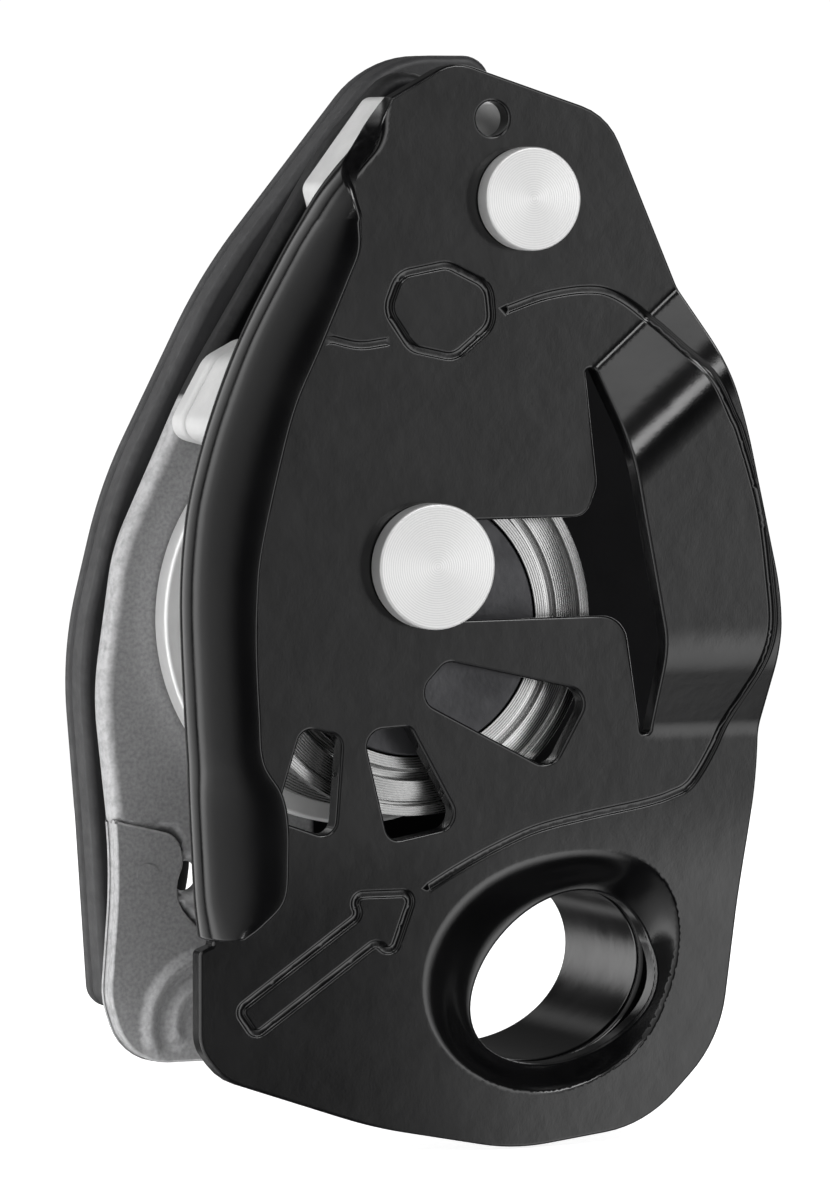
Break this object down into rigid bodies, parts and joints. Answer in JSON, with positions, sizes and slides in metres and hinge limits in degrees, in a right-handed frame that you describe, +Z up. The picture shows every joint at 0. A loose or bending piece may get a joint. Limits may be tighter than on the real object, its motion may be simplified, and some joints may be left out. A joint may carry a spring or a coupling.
{
  "type": "rope descender",
  "caption": "Rope descender: an eccentric cam with a rope wheel pinches a rope against a shoe between a fixed and a swinging side plate, released by a folding handle.",
  "frame": {"origin": "centre of the attachment eye, on the front face of the swinging plate", "axes": "+Z up along the plates, +X towards the bridge side, +Y from the front plate to the handle"},
  "size_m": [0.0668, 0.039, 0.1138],
  "materials": {
    "black_anodised": "satin black anodised",
    "grey_anodised": "bead blasted",
    "turned_steel": "turned",
    "cast_steel": "tumbled",
    "dark_metal": "dark anodised",
    "bright_steel": "ground",
    "bronze": "sintered",
    "grip_plastic": "moulded"
  },
  "bodies": {
    "frame": {"rear_side_plate": "grey_anodised", "pivot_rivet": "turned_steel", "pivot_spacer": "bright_steel", "pivot_washer": "bright_steel", "friction_shoe": "cast_steel", "shoe_pin": "bright_steel", "wear_plate": "grey_anodised", "wear_rivet_upper": "grey_anodised", "wear_rivet_lower": "grey_anodised", "eye_collar": "black_anodised", "axle_bushing": "bronze", "stop_pin": "bright_steel", "spring_peg": "bright_steel"},
    "side_plate": {"front_side_plate": "black_anodised"},
    "cam": {"cam_plate": "cast_steel", "cam_hub": "dark_metal", "hub_cover": "dark_metal", "cover_screw_a": "dark_metal", "cover_screw_b": "dark_metal", "drive_pin_a": "bright_steel", "drive_pin_b": "bright_steel", "cam_axle": "turned_steel", "lever_arm": "cast_steel", "axle_nut": "bright_steel", "bearing_inner_race": "bright_steel", "handle_hinge_pin": "bright_steel", "return_spring": "bright_steel"},
    "wheel": {"wheel_rim": "turned_steel", "bearing_outer_race": "bright_steel", "retaining_ring": "bright_steel"},
    "cage": {"bearing_cage": "bronze", "bearing_balls": "bright_steel"},
    "handle": {"handle_grip": "grip_plastic"}
  },
  "joints": [
    {"name": "side_plate_swing", "type": "hinge", "parent": "frame", "child": "side_plate", "pos_m": [-0.0058, 0.00115, 0.08175], "axis": [0, 1, 0], "range_deg": [0, 110]},
    {"name": "cam_pivot", "type": "hinge", "parent": "frame", "child": "cam", "pos_m": [-0.0166, 0.0125, 0.044], "axis": [0, 1, 0], "range_deg": [0, 20], "stiffness_Nm_per_rad": 0.05, "springref_deg": -34.38, "deforming": ["return_spring"]},
    {"name": "wheel_spin", "type": "hinge", "parent": "cam", "child": "wheel", "pos_m": [-0.0166, 0.0105, 0.0378], "axis": [0, 1, 0], "continuous": true},
    {"name": "cage_spin", "type": "hinge", "parent": "cam", "child": "cage", "pos_m": [-0.0166, 0.011, 0.0378], "axis": [0, 1, 0], "continuous": true},
    {"name": "handle_unfold", "type": "hinge", "parent": "cam", "child": "handle", "pos_m": [-0.0286, 0.031, 0.022], "axis": [0, -1, 0], "range_deg": [0, 120]}
  ],
  "couplings": [
    {"joint": "cage_spin", "follows": "wheel_spin", "ratio": 0.54}
  ]
}
